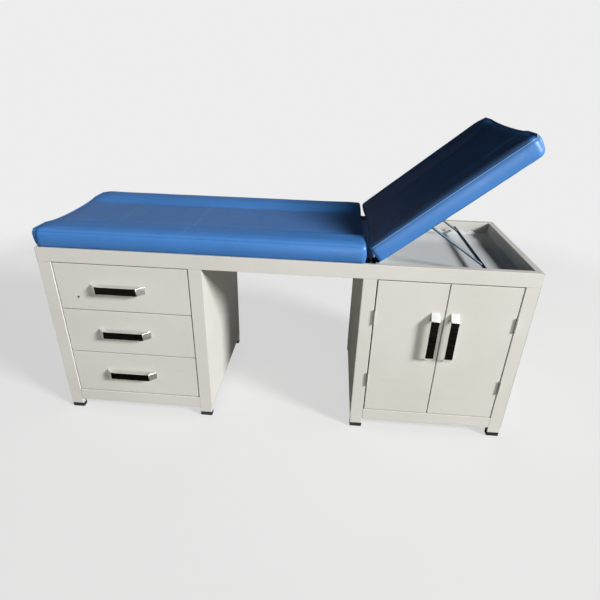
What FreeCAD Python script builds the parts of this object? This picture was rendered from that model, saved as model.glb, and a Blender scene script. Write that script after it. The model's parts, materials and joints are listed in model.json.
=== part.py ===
# Examination table: a steel cabinet frame on a drawer pedestal and a cupboard pedestal,
# a fixed foot mattress, and a backrest held up by a prop that rests in toothed racks.
# Millimetres. +X points to the head end, -Y to the drawers and doors, +Z up.
# The origin lies on the floor, under the middle of the whole outline.
import FreeCAD
import Part
import math
import os

# Overall size
length = 1830.0
depth = 610.0
frame_height = 740.0
pedestal_width = 620.0

# Top frame of rectangular tube
rail_width = 25.0
rail_height = 55.0
tube_wall = 1.6
deck_thickness = 1.2
tray_depth = 50.0
tray_thickness = 1.2

# Pedestals of square posts and sheet panels
post_width = 50.0
post_depth = 25.0
sheet = 1.0
leg_clearance = 45.0
bottom_rail_height = 50.0
shoe_height = 20.0
shoe_plug_height = 16.0
shoe_chamfer = 3.0

# Cupboard shelf
shelf_height_share = 0.52
shelf_lip = 18.0
shelf_setback = 40.0
shelf_clearance = 0.5
support_length = 40.0
support_width = 14.0
support_thickness = 2.0
support_inset = 60.0

# Mattress and backrest cushions
cushion_side_margin = 2.0
cushion_height = 70.0
band_height = 60.0
base_tuck = 3.0
seam_tuck = 2.5
rim_width = 88.0
rim_drop = 1.5
shoulder_width = 36.0
slope_width = 65.0
slope_foot_height = 59.0
valley_height = 57.0
mattress_corner_radius = 17.0
backrest_corner_radius = 25.0
junction_corner_radius = 14.0
end_drop = 9.0
side_draw = 3.0
lengthwise_crown = 2.0
band_bulge_share = 0.5
shoulder_rise_share = 0.78
shoulder_run_share = 0.38
slope_sag_share = 0.36
corner_shares = (0.0, 0.08, 0.3, 1.0)
length_shares = (0.25, 0.5, 0.75)
mattress_foot_margin = 1.0
junction_gap = 43.0
board_thickness = 12.0
board_wrap = 10.0
board_corner_share = 0.5

# Backrest and its hinges
backrest_angle = 39.5
backrest_length = 616.0
hinge_inset = 7.0
hinge_barrel_radius = 4.0
hinge_pin_radius = 2.0
hinge_length = 55.0
hinge_leaf_length = 38.0
hinge_leaf_thickness = 2.0
end_gap = 7.0
board_lift = 0.5
knuckle_share = 1 / 3
knuckle_clearance = 0.3
leaf_screw_radius = 4.0
leaf_screw_rise = 1.2
leaf_screw_places_share = (0.2, 0.5, 0.8)

# Prop, its brackets and the toothed racks
prop_arm = 212.0
prop_drop = 12.0
prop_length = 270.0
prop_leg_inset = 50.0
prop_leg_radius = 4.0
prop_eye_radius = 7.0
prop_eye_length = 12.0
prop_pin_radius = 3.0
prop_pin_overhang = 1.5
bracket_thickness = 2.5
bracket_side_clearance = 0.5
bracket_length = 44.0
bar_radius = 6.0
bar_overhang = 12.0
bar_chamfer = 1.0
bar_height = 28.0
rack_wall_gap = 30.0
rack_thickness = 4.0
rack_foot_width = 12.0
rack_foot_thickness = 2.0
rack_pitch = 50.0
rack_clearance = 1.6
rack_before = 130.0
rack_after = 92.0
rack_taper = 26.0
notch_depth = 9.0
notch_clearance = 0.5
notch_ramp = 18.0
notch_steps = (-2, -1, 0, 1)

# Drawers
drawer_count = 3
front_gap = 3.5
drawer_recess = 2.5
pan_depth = 18.0
edge_radius = 1.5
drawer_wall = 1.0
drawer_box_height = 142.0
drawer_back_clearance = 72.0
drawer_box_rise = 16.0
runner_width = 12.0
runner_height = 30.0
runner_wall = 1.5
runner_clearance = 0.3
runner_side_clearance = 0.5
runner_rise = 60.0
runner_back_margin = 40.0
front_hole_radius = 2.0
front_hole_from_side = 76.0
front_hole_from_bottom = 54.0
drawer_handle_shift = 19.0

# Bow handles of bent strip
handle_length = 212.0
handle_height = 30.0
handle_projection = 25.0
handle_strip = 4.0
handle_run = 26.0
handle_bend_radius = 5.0

# Cupboard doors
hinge_gap = 4.5
door_hinge_end = 150.0
door_hinge_length = 60.0
door_barrel_radius = 3.5
door_pin_radius = 1.5
door_leaf_thickness = 1.0
door_leaf_width = 16.0
door_face_clearance = 0.2
door_handle_inset = 34.0
door_handle_share = 0.62
catch_length = 44.0
catch_depth = 24.0
catch_height = 12.0
catch_gap = 0.5
catch_from_meeting = 30.0

# Fits
pin_clearance = 0.05
overrun = 5.0

Vector = FreeCAD.Vector
ACROSS = Vector(0, 1, 0)
UP = Vector(0, 0, 1)

# Places worked out from the sizes above
foot_x = -length / 2
head_x = length / 2
mid_y = handle_projection / 2
front_y = mid_y - depth / 2
back_y = mid_y + depth / 2
drawer_face_y = front_y + drawer_recess
inner_y = (front_y + rail_width, back_y - rail_width)
rail_bottom = frame_height - rail_height
knee_left = foot_x + pedestal_width
knee_right = head_x - pedestal_width
tray_floor_z = frame_height - tray_depth
opening_bottom = leg_clearance + bottom_rail_height
pedestals = {"drawer": (foot_x, knee_left), "cupboard": (knee_right, head_x)}
pivot_x = knee_right + post_width - hinge_inset
pivot_z = frame_height + hinge_barrel_radius
pivot = Vector(pivot_x, mid_y, pivot_z)
backrest_base = frame_height + board_lift
cushion_width = depth - 2 * cushion_side_margin
rack_offset = depth / 2 - rail_width - rack_wall_gap
prop_leg_offset = rack_offset - prop_leg_inset
bar_half_length = rack_offset + bar_overhang
drawer_box_depth = depth - pan_depth - drawer_back_clearance
drawer_height = (rail_bottom - opening_bottom - (drawer_count + 1) * front_gap) / drawer_count
drawer_names = ("bottom", "middle", "top")


def block(x, y, z):
    """A box between the low and high ends of three spans."""
    return Part.makeBox(x[1] - x[0], y[1] - y[0], z[1] - z[0], Vector(x[0], y[0], z[0]))


def shrink(span, amount):
    """A span with both ends drawn in."""
    return (span[0] + amount, span[1] - amount)


def around(middle, size):
    """A span of a given size about its middle."""
    return (middle - size / 2, middle + size / 2)


def prism(points, way):
    """A straight-edged outline pushed along a direction."""
    return Part.Face(Part.makePolygon([*points, points[0]])).extrude(way)


def tube(x, y, z, along):
    """A rectangular tube, open at both ends along one axis."""
    spans = [x, y, z]
    hollow = [span if axis == along else shrink(span, tube_wall) for axis, span in enumerate(spans)]
    return block(*spans).cut(block(*hollow))


def pair(solid):
    """A solid and its mirror image across the table's long middle plane."""
    return [solid, solid.mirror(Vector(0, mid_y, 0), ACROSS)]


def tilted(solid):
    """A solid of the flat backrest, turned up to the backrest's angle."""
    turned = solid.copy()
    turned.rotate(pivot, ACROSS, -backrest_angle)
    return turned


def save(node, solids):
    Part.makeCompound(solids).exportStep("parts/" + node + ".step")


# Top frame


def mitred_rail(start, end):
    """A tube with mitred ends, whose outer face runs from one frame corner to the next."""
    along = (end - start).normalize()
    inward = Vector(-along.y, along.x, 0)

    def outline(near, far, z):
        plan = [
            start + along * near + inward * near,
            end - along * near + inward * near,
            end - along * far + inward * far,
            start + along * far + inward * far,
        ]
        return [point + UP * z for point in plan]

    outer = prism(outline(0, rail_width, rail_bottom), UP * rail_height)
    hollow_outline = outline(tube_wall, rail_width - tube_wall, rail_bottom + tube_wall)
    return outer.cut(prism(hollow_outline, UP * (rail_height - 2 * tube_wall)))


def make_top_frame():
    corners = [
        Vector(foot_x, front_y, 0),
        Vector(head_x, front_y, 0),
        Vector(head_x, back_y, 0),
        Vector(foot_x, back_y, 0),
    ]
    names = ("front_top_rail", "head_top_rail", "back_top_rail", "foot_top_rail")
    for side, name in enumerate(names):
        save(name, [mitred_rail(corners[side], corners[(side + 1) % len(corners)])])
    rail_z = (rail_bottom, frame_height)
    deck_z = (frame_height - deck_thickness, frame_height)
    save("hinge_cross_rail", [tube((knee_right, knee_right + post_width), inner_y, rail_z, 1)])
    middle_z = (rail_bottom, frame_height - deck_thickness)
    save("middle_cross_rail", [tube((knee_left - post_width, knee_left), inner_y, middle_z, 1)])
    save("deck_sheet", [block((foot_x + rail_width, knee_right), inner_y, deck_z)])
    tray_x = (knee_right + post_width, head_x - rail_width)
    save("tray_floor", [block(tray_x, inner_y, (tray_floor_z - tray_thickness, tray_floor_z))])


# Pedestals


def post_spans(ends):
    """Left and right post spans along X of one pedestal."""
    return [(ends[0] + sheet, ends[0] + post_width), (ends[1] - post_width, ends[1] - sheet)]


front_post_y = (front_y, front_y + post_depth)
back_post_y = (back_y - post_depth, back_y)


def rubber_shoe(x, y):
    """A foot pad with a chamfered sole and a plug that fills the end of the post."""
    pad = block(x, y, (0, shoe_height))
    sole = [edge for edge in pad.Edges if edge.BoundBox.ZMax < shoe_height / 2]
    plug_z = (shoe_height, shoe_height + shoe_plug_height)
    plug = block(shrink(x, tube_wall), shrink(y, tube_wall), plug_z)
    return pad.makeChamfer(shoe_chamfer, sole).fuse(plug)


def make_pedestals():
    posts = {"front_posts": front_post_y, "back_posts": back_post_y}
    shoes = []
    for node, post_y in posts.items():
        places = [x for ends in pedestals.values() for x in post_spans(ends)]
        save(node, [tube(x, post_y, (shoe_height, rail_bottom), 2) for x in places])
        shoes += [rubber_shoe(x, post_y) for x in places]
    save("rubber_shoes", shoes)

    panel_z = (leg_clearance, rail_bottom)
    rail_z = (leg_clearance, opening_bottom)
    bottom_rails = []
    for name, ends in pedestals.items():
        sides = [(ends[0], ends[0] + sheet), (ends[1] - sheet, ends[1])]
        labels = ("outer", "inner") if name == "drawer" else ("inner", "outer")
        for label, side in zip(labels, sides):
            save(name + "_" + label + "_side", [block(side, (front_y, back_y), panel_z)])
        between = shrink(ends, post_width)
        back_panel = block(between, (back_y - sheet, back_y), (opening_bottom, rail_bottom))
        save(name + "_back_panel", [back_panel])
        bottom_rails += [tube(between, y, rail_z, 0) for y in (front_post_y, back_post_y)]
        base_y = (front_post_y[1], back_post_y[0])
        base_z = (opening_bottom - sheet, opening_bottom)
        save(name + "_base_sheet", [block(shrink(ends, sheet), base_y, base_z)])
    save("bottom_rails", bottom_rails)


def make_shelf():
    """A folded shelf with front and back lips, on four angle supports."""
    x = shrink(pedestals["cupboard"], sheet + shelf_clearance)
    y = (front_post_y[1] + shelf_setback, back_post_y[0])
    top = opening_bottom + (rail_bottom - opening_bottom) * shelf_height_share
    outer = block(x, y, (top - shelf_lip, top))
    hollow = block(x, shrink(y, sheet), (top - shelf_lip, top - sheet))
    save("cupboard_shelf", [outer.cut(hollow)])

    wall_x = shrink(pedestals["cupboard"], sheet)
    ledge_z = (top - sheet - support_thickness, top - sheet)
    stem_z = (top - sheet - support_width, top - sheet)
    supports = []
    for low, inward in ((wall_x[0], 1), (wall_x[1], -1)):
        for middle in (y[0] + support_inset, y[1] - support_inset):
            along = around(middle, support_length)
            ledge_x = sorted((low, low + inward * support_width))
            stem_x = sorted((low, low + inward * support_thickness))
            angle = block(ledge_x, along, ledge_z).fuse(block(stem_x, along, stem_z))
            supports.append(angle.removeSplitter())
    save("shelf_supports", supports)


# Cushions


def cushion_wire(at_x, base_z, inset, drop):
    """Cross-section of a cushion: a banded side, a raised rim and a shallow valley in the middle."""
    half = cushion_width / 2 - inset
    height_share = 1 - drop / cushion_height
    rim_end = half - rim_width
    slope_end = rim_end - slope_width
    rim_height = cushion_height - rim_drop
    shoulder_height = band_height + (cushion_height - band_height) * shoulder_rise_share
    slope_chord = (rim_height + slope_foot_height) / 2
    slope_height = slope_chord - (rim_height - slope_foot_height) * slope_sag_share / 2
    profile = [
        (half - base_tuck, 0),
        (half, band_height * band_bulge_share),
        (half - seam_tuck, band_height),
        (half - shoulder_width * shoulder_run_share, shoulder_height),
        (half - shoulder_width, cushion_height),
        (half - (shoulder_width + rim_width) / 2, cushion_height),
        (rim_end, rim_height),
        ((rim_end + slope_end) / 2, slope_height),
        (slope_end, slope_foot_height),
    ]

    def place(across, height):
        return Vector(at_x, mid_y + across, base_z + height * height_share)

    right = [place(across, height) for across, height in profile]
    left = [place(-across, height) for across, height in profile]
    arcs = [right[i:i + 3] for i in range(0, len(right) - 1, 2)]
    arcs.append([right[-1], place(0, valley_height), left[-1]])
    arcs += [left[i::-1][:3] for i in range(len(left) - 1, 0, -2)]
    edges = [Part.LineSegment(left[0], right[0]).toShape()]
    edges += [Part.Arc(*points).toShape() for points in arcs]
    return Part.Wire(edges)


def corner_inset(distance, radius):
    """How far a rounded corner draws in, at a distance from the end."""
    reach = max(radius - distance, 0)
    return radius - math.sqrt(radius ** 2 - reach ** 2)


def cushion(ends, radii, base_z):
    """A padded section with rounded corners, drawn-in sides and a pocket for its board."""
    size = ends[1] - ends[0]
    places = [radii[0] * share for share in corner_shares]
    places += [size * share for share in length_shares]
    places += [size - radii[1] * share for share in reversed(corner_shares)]
    wires = []
    for distance in places:
        radius = radii[0] if distance < size / 2 else radii[1]
        rounding = corner_inset(min(distance, size - distance), radius)
        swell = 4 * distance * (size - distance) / size ** 2
        drop = end_drop * rounding / radius - lengthwise_crown * swell
        wires.append(cushion_wire(ends[0] + distance, base_z, rounding + side_draw * swell, drop))
    padded = Part.makeLoft(wires, True, True)
    return padded.cut(cushion_board(ends, radii, base_z))


def cushion_board(ends, radii, base_z):
    """The plywood board that the cover wraps, with its two outer corners rounded."""
    along = shrink(ends, board_wrap)
    across = around(mid_y, cushion_width - 2 * board_wrap)
    board = block(along, across, (base_z, base_z + board_thickness))
    outer_x = along[radii.index(max(radii))]
    upright = [edge for edge in board.Edges if edge.BoundBox.ZLength > board_thickness / 2]
    corners = [edge for edge in upright if abs(edge.CenterOfMass.x - outer_x) < board_wrap]
    return board.makeFillet(max(radii) * board_corner_share, corners)


mattress_x = (foot_x + mattress_foot_margin, pivot_x - junction_gap)
mattress_radii = (mattress_corner_radius, junction_corner_radius)
backrest_x = (pivot_x + end_gap, pivot_x + end_gap + backrest_length)
backrest_radii = (junction_corner_radius, backrest_corner_radius)


def make_mattress():
    save("foot_mattress", [cushion(mattress_x, mattress_radii, frame_height)])
    save("foot_mattress_board", [cushion_board(mattress_x, mattress_radii, frame_height)])


# Backrest hinges

hinge_y = around(mid_y - cushion_width / 2 + board_wrap + hinge_length / 2, hinge_length)
knuckle_y = around((hinge_y[0] + hinge_y[1]) / 2, hinge_length * knuckle_share)


def across_rod(x, z, radius, y):
    """A round bar along Y."""
    return Part.makeCylinder(radius, y[1] - y[0], Vector(x, y[0], z), ACROSS)


def hinge_leaf(x, z, knuckles, spaces):
    """A leaf with its own knuckles, relieved round the other leaf's knuckles and bored for the pin."""
    leaf = block(x, hinge_y, z)
    for y in knuckles:
        leaf = leaf.fuse(across_rod(pivot_x, pivot_z, hinge_barrel_radius, y))
    for y in spaces:
        leaf = leaf.cut(across_rod(pivot_x, pivot_z, hinge_barrel_radius + knuckle_clearance, y))
    bore = across_rod(pivot_x, pivot_z, hinge_pin_radius + pin_clearance, hinge_y)
    return leaf.cut(bore).removeSplitter()


moving_leaf_x = (pivot_x, pivot_x + hinge_leaf_length)
moving_leaf_z = (backrest_base, backrest_base + hinge_leaf_thickness)


def make_backrest_hinges():
    fixed_x = (pivot_x - hinge_leaf_length, pivot_x)
    fixed_z = (frame_height, frame_height + hinge_leaf_thickness)
    gap = shrink(knuckle_y, -knuckle_clearance)
    outer = [(hinge_y[0], gap[0]), (gap[1], hinge_y[1])]
    wide_outer = [(hinge_y[0], knuckle_y[0]), (knuckle_y[1], hinge_y[1])]
    save("backrest_fixed_leaves", pair(hinge_leaf(fixed_x, fixed_z, outer, [gap])))
    moving = hinge_leaf(moving_leaf_x, moving_leaf_z, [knuckle_y], wide_outer)
    save("backrest_moving_leaves", [tilted(leaf) for leaf in pair(moving)])
    save("backrest_hinge_pins", pair(across_rod(pivot_x, pivot_z, hinge_pin_radius, hinge_y)))

    heads = []
    for share in leaf_screw_places_share:
        centre = Vector(
            pivot_x - hinge_leaf_length / 2,
            hinge_y[0] + hinge_length * share,
            frame_height + hinge_leaf_thickness,
        )
        heads += pair(Part.makeCone(leaf_screw_radius, leaf_screw_radius / 2, leaf_screw_rise, centre))
    save("fixed_leaf_screws", heads)


# Backrest

prop_pivot_flat = Vector(pivot_x + prop_arm, mid_y, backrest_base - prop_drop)


def make_backrest():
    recess = pair(block(moving_leaf_x, hinge_y, moving_leaf_z))
    padded = cushion(backrest_x, backrest_radii, backrest_base).cut(recess)
    board = cushion_board(backrest_x, backrest_radii, backrest_base).cut(recess)
    save("backrest_cushion", [tilted(padded)])
    save("backrest_board", [tilted(board)])


def prop_bracket(middle_y):
    """A fork under the board: a plate with two ears, rounded and bored at the pivot."""
    inner = prop_eye_length + 2 * bracket_side_clearance
    outer = inner + 2 * bracket_thickness
    plate_x = around(prop_pivot_flat.x, bracket_length)
    plate_z = (backrest_base - bracket_thickness, backrest_base)
    fork = block(plate_x, around(middle_y, outer), plate_z)
    ear_x = around(prop_pivot_flat.x, 2 * prop_eye_radius)
    ear_y = around(middle_y, outer)
    ear = block(ear_x, ear_y, (prop_pivot_flat.z, plate_z[0]))
    ear = ear.fuse(across_rod(prop_pivot_flat.x, prop_pivot_flat.z, prop_eye_radius, ear_y))
    slot_z = (prop_pivot_flat.z - prop_eye_radius - overrun, plate_z[0])
    ears = ear.cut(block(shrink(ear_x, -overrun), around(middle_y, inner), slot_z))
    bore_y = around(middle_y, outer + 2 * overrun)
    bore = across_rod(prop_pivot_flat.x, prop_pivot_flat.z, prop_pin_radius + pin_clearance, bore_y)
    return fork.fuse(ears).cut(bore).removeSplitter()


def make_prop_brackets():
    leg_y = mid_y - prop_leg_offset
    fork_width = prop_eye_length + 2 * bracket_side_clearance + 2 * bracket_thickness
    pin_y = around(leg_y, fork_width + 2 * prop_pin_overhang)
    pin = across_rod(prop_pivot_flat.x, prop_pivot_flat.z, prop_pin_radius, pin_y)
    save("prop_brackets", [tilted(solid) for solid in pair(prop_bracket(leg_y))])
    save("prop_pivot_pins", [tilted(solid) for solid in pair(pin)])


# Prop and racks, at the backrest's angle

tilt = math.radians(backrest_angle)
arm_drop = pivot_z - prop_pivot_flat.z
prop_x = pivot_x + prop_arm * math.cos(tilt) + arm_drop * math.sin(tilt)
prop_z = pivot_z + prop_arm * math.sin(tilt) - arm_drop * math.cos(tilt)
bar_z = tray_floor_z + bar_height
prop_slope = math.asin((prop_z - bar_z) / prop_length)
bar_x = prop_x + prop_length * math.cos(prop_slope)


def make_prop():
    bar = across_rod(bar_x, bar_z, bar_radius, around(mid_y, 2 * bar_half_length))
    bar = bar.makeChamfer(bar_chamfer, [edge for edge in bar.Edges if edge.Closed])
    leg_y = mid_y - prop_leg_offset
    way = Vector(math.cos(prop_slope), 0, -math.sin(prop_slope))
    leg = Part.makeCylinder(prop_leg_radius, prop_length, Vector(prop_x, leg_y, prop_z), way)
    eye_y = around(leg_y, prop_eye_length)
    leg = leg.fuse(across_rod(prop_x, prop_z, prop_eye_radius, eye_y))
    leg = leg.cut(across_rod(prop_x, prop_z, prop_pin_radius + pin_clearance, shrink(eye_y, -overrun)))
    leg = leg.cut(bar).removeSplitter()
    save("prop_legs", pair(leg))
    save("prop_cross_bar", [bar])


def rack_outline():
    """Toothed edge: each notch has a ramp on the foot side and an upright face on the head side."""
    tip = bar_z - bar_radius - rack_clearance
    seat = tip - notch_depth
    half = bar_radius + notch_clearance
    points = [(bar_x - rack_before, tray_floor_z), (bar_x - rack_before, tip)]
    for step in notch_steps:
        notch_x = bar_x + step * rack_pitch
        points += [(notch_x - half - notch_ramp, tip), (notch_x - half, seat), (notch_x + half, seat)]
        points.append((notch_x + half, tip))
    end_x = bar_x + rack_after
    points += [(end_x - rack_taper, tip), (end_x, seat), (end_x, tray_floor_z)]
    return points


def make_racks():
    rack_y = around(mid_y + rack_offset, rack_thickness)
    plate = prism([Vector(x, rack_y[0], z) for x, z in rack_outline()], ACROSS * rack_thickness)
    foot_x_span = (bar_x - rack_before, bar_x + rack_after)
    foot = block(
        foot_x_span,
        (rack_y[0], rack_y[0] + rack_foot_width),
        (tray_floor_z, tray_floor_z + rack_foot_thickness),
    )
    save("prop_racks", pair(plate.fuse(foot).removeSplitter()))


# Drawers and doors


def bow_handle():
    """A bent strip about the origin: its length along X, its feet on the plane Y = 0."""
    half = handle_length / 2

    def outline(inset, lift):
        foot = half - inset
        flat = half - handle_run - inset
        y = -handle_projection + lift
        return [Vector(-foot, 0, 0), Vector(-flat, y, 0), Vector(flat, y, 0), Vector(foot, 0, 0)]

    def bent(points, radius):
        solid = prism(points, UP * handle_height)
        front = [edge for edge in solid.Edges if edge.BoundBox.YMax < -handle_projection / 2]
        bends = [edge for edge in front if edge.BoundBox.ZLength > handle_height / 2]
        return solid.makeFillet(radius, bends)

    foot_width = handle_strip * math.hypot(handle_run, handle_projection) / handle_projection
    strip = bent(outline(0, 0), handle_bend_radius + handle_strip)
    strip = strip.cut(bent(outline(foot_width, handle_strip), handle_bend_radius))
    strip.translate(UP * (-handle_height / 2))
    return strip


def folded_front(x, face_y, z):
    """A sheet front folded back on all four sides, with its front edges rounded."""
    outer = block(x, (face_y, face_y + pan_depth), z)
    face_edges = [edge for edge in outer.Edges if edge.BoundBox.YMax < face_y + pan_depth / 2]
    outer = outer.makeFillet(edge_radius, face_edges)
    hollow_y = (face_y + sheet, face_y + pan_depth + overrun)
    return outer.cut(block(shrink(x, sheet), hollow_y, shrink(z, sheet)))


opening_x = shrink(pedestals["drawer"], post_width)
runner_y = (drawer_face_y + pan_depth + 2 * drawer_wall, back_y - sheet)


def channel(x, z, inward, y):
    """A runner channel: its web stands at one end of x, and it opens the other way."""
    web = x[0] if inward > 0 else x[1]
    hollow_x = sorted((web + inward * runner_wall, web + inward * (runner_width + overrun)))
    return block(x, y, z).cut(block(hollow_x, y, shrink(z, runner_wall)))


def make_drawers():
    fixed_runners = []
    box_x = shrink(opening_x, runner_width + runner_side_clearance)
    box_front_y = drawer_face_y + pan_depth
    inner_plate_y = (box_front_y, box_front_y + drawer_wall)
    box_y = (box_front_y, box_front_y + drawer_box_depth)
    slide_y = (runner_y[0], box_y[1] - runner_back_margin)
    for number, name in enumerate(drawer_names):
        low = opening_bottom + front_gap + number * (drawer_height + front_gap)
        front_z = (low, low + drawer_height)
        front_x = shrink(opening_x, front_gap)
        front = folded_front(front_x, drawer_face_y, front_z)
        if name == "top":
            hole_x = front_x[0] + front_hole_from_side
            hole = Vector(hole_x, drawer_face_y - overrun, low + front_hole_from_bottom)
            front = front.cut(Part.makeCylinder(front_hole_radius, pan_depth, hole, ACROSS))
        save(name + "_drawer_front", [front])

        box_z = (low + drawer_box_rise, low + drawer_box_rise + drawer_box_height)
        hollow_z = (box_z[0] + drawer_wall, box_z[1] + overrun)
        hollow = block(shrink(box_x, drawer_wall), shrink(box_y, drawer_wall), hollow_z)
        tray = block(box_x, box_y, box_z).cut(hollow)
        box = tray.fuse(block(front_x, inner_plate_y, front_z)).removeSplitter()
        save(name + "_drawer_box", [box])

        handle = bow_handle()
        handle_x = (opening_x[0] + opening_x[1]) / 2 - drawer_handle_shift
        handle.translate(Vector(handle_x, drawer_face_y, (front_z[0] + front_z[1]) / 2))
        save(name + "_drawer_handle", [handle])

        fixed_z = around(low + runner_rise, runner_height)
        slide_z = shrink(fixed_z, runner_wall + runner_clearance)
        slides = []
        for side, inward in ((0, 1), (1, -1)):
            edge = opening_x[side]
            fixed_x = sorted((edge, edge + inward * runner_width))
            fixed_runners.append(channel(fixed_x, fixed_z, inward, runner_y))
            web = edge + inward * (runner_wall + runner_side_clearance)
            slides.append(channel(sorted((web, box_x[side])), slide_z, -inward, slide_y))
        save(name + "_drawer_slides", slides)
    save("drawer_fixed_runners", fixed_runners)


door_opening = shrink(pedestals["cupboard"], post_width)
door_middle = (door_opening[0] + door_opening[1]) / 2
door_z = (opening_bottom + front_gap, rail_bottom - front_gap)
door_axis_y = front_y - door_barrel_radius - door_face_clearance
door_axes = {"left": door_opening[0] + hinge_gap / 2, "right": door_opening[1] - hinge_gap / 2}


def upright_rod(x, radius, z):
    """A round bar standing on the door hinge line."""
    return Part.makeCylinder(radius, z[1] - z[0], Vector(x, door_axis_y, z[0]), UP)


def door_leaf(axis_x, leaf_x, z, knuckles):
    """A door hinge leaf: a plate in the gap, necks to its knuckles, and the bore for the pin."""
    leaf = block(leaf_x, (front_y, front_y + door_leaf_width), z)
    for knuckle in knuckles:
        leaf = leaf.fuse(block(leaf_x, (door_axis_y, front_y), knuckle))
        leaf = leaf.fuse(upright_rod(axis_x, door_barrel_radius, knuckle))
    return leaf.cut(upright_rod(axis_x, door_pin_radius + pin_clearance, z)).removeSplitter()


def make_doors():
    hinge_middles = (door_z[0] + door_hinge_end, door_z[1] - door_hinge_end)
    door_x = {
        "left": (door_opening[0] + hinge_gap, door_middle - front_gap / 2),
        "right": (door_middle + front_gap / 2, door_opening[1] - hinge_gap),
    }
    fixed_leaves = []
    pins = []
    catches = []
    for side, inward in (("left", 1), ("right", -1)):
        axis_x = door_axes[side]
        post_face = door_opening[0] if side == "left" else door_opening[1]
        door_edge = post_face + inward * hinge_gap
        save(side + "_door_panel", [folded_front(door_x[side], front_y, door_z)])
        fixed_x = sorted((post_face, post_face + inward * door_leaf_thickness))
        moving_x = sorted((door_edge, door_edge - inward * door_leaf_thickness))
        moving_leaves = []
        for middle in hinge_middles:
            z = around(middle, door_hinge_length)
            knuckle = around(middle, door_hinge_length * knuckle_share)
            gap = shrink(knuckle, -knuckle_clearance)
            fixed_leaves.append(door_leaf(axis_x, fixed_x, z, [(z[0], gap[0]), (gap[1], z[1])]))
            moving_leaves.append(door_leaf(axis_x, moving_x, z, [knuckle]))
            pins.append(upright_rod(axis_x, door_pin_radius, z))
        save(side + "_door_leaves", moving_leaves)

        handle = bow_handle()
        handle.rotate(Vector(0, 0, 0), ACROSS, 90)
        handle_x = door_middle - inward * (front_gap / 2 + door_handle_inset)
        handle_z = door_z[0] + (door_z[1] - door_z[0]) * door_handle_share
        handle.translate(Vector(handle_x, front_y, handle_z))
        save(side + "_door_handle", [handle])

        catch_x = around(door_middle - inward * (catch_from_meeting + catch_length / 2), catch_length)
        catch_start = front_y + pan_depth + catch_gap
        catch_z = (rail_bottom - catch_height, rail_bottom)
        catches.append(block(catch_x, (catch_start, catch_start + catch_depth), catch_z))
    save("door_fixed_leaves", fixed_leaves)
    save("door_hinge_pins", pins)
    save("door_catches", catches)


def main():
    os.makedirs("parts", exist_ok=True)
    make_top_frame()
    make_pedestals()
    make_shelf()
    make_mattress()
    make_backrest_hinges()
    make_backrest()
    make_prop_brackets()
    make_prop()
    make_racks()
    make_drawers()
    make_doors()


main()
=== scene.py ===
# %% [markdown]
# An examination table from a clinic: a painted steel cabinet with a drawer pedestal and a cupboard
# pedestal, a blue vinyl mattress, and a backrest that a steel prop holds up on two toothed racks. The CAD
# model is the fixed frame. It could be traced again in Blender, but loading it means that every new piece
# is built in metres, in the place where the real piece sits, with no fitting by eye.

# %% Load the frame
import json
import math

import bmesh
import bpy
from mathutils import Matrix, Vector, noise


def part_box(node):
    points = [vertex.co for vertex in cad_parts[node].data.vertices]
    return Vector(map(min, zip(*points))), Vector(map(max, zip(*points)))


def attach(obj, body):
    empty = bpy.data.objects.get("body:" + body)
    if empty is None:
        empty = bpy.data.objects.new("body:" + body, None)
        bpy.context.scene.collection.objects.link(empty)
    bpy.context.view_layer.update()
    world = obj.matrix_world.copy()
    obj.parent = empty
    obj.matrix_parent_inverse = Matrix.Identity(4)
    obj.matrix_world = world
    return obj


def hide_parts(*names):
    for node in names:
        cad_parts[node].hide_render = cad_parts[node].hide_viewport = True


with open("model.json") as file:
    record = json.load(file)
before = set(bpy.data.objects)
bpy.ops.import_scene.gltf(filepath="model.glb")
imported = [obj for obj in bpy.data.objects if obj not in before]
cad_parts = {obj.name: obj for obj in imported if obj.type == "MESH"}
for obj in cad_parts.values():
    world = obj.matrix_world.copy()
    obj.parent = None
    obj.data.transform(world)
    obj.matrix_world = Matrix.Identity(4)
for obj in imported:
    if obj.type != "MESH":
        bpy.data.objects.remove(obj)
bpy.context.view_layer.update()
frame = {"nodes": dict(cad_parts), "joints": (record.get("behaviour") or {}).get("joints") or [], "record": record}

nodes = frame["nodes"]
scene = bpy.context.scene

# %% [markdown]
# Finishes come first, because every piece takes one. A finish is a Principled shader whose colour,
# roughness and bump are fed by procedural patterns. Writing every node out in full would be long, so a few
# helpers each add one kind of node. All patterns read Object coordinates, which are metres here: a scale of
# 600 gives a grain of about 1.7 mm, on the CAD nodes and on the new pieces alike.

# %% Helpers for finishes
def new_finish(name, metallic=0.0, specular=0.5):
    """A material with its node tree and its shader."""
    finish = bpy.data.materials.new(name)
    finish.use_nodes = True
    shader = finish.node_tree.nodes["Principled BSDF"]
    shader.inputs["Metallic"].default_value = metallic
    shader.inputs["Specular IOR Level"].default_value = specular
    return finish, finish.node_tree, shader


def add_node(tree, kind, inputs, **settings):
    """A shader node whose inputs take either a value or another node's output."""
    made = tree.nodes.new("ShaderNode" + kind)
    for key, value in settings.items():
        setattr(made, key, value)
    for key, value in inputs.items():
        if isinstance(value, bpy.types.NodeSocket):
            tree.links.new(value, made.inputs[key])
        else:
            made.inputs[key].default_value = value
    return made


def place(tree, stretch=(1, 1, 1)):
    """Object coordinates, stretched along the axes where a pattern runs one way."""
    spot = add_node(tree, "TexCoord", {}).outputs["Object"]
    return add_node(tree, "Mapping", {"Vector": spot, "Scale": stretch}).outputs["Vector"]


def speckle(tree, scale, detail=2.0, stretch=(1, 1, 1), distortion=0.0):
    """Noise from 0 to 1."""
    settings = {"Vector": place(tree, stretch), "Scale": scale, "Detail": detail, "Distortion": distortion}
    return add_node(tree, "TexNoise", settings).outputs[0]


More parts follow.
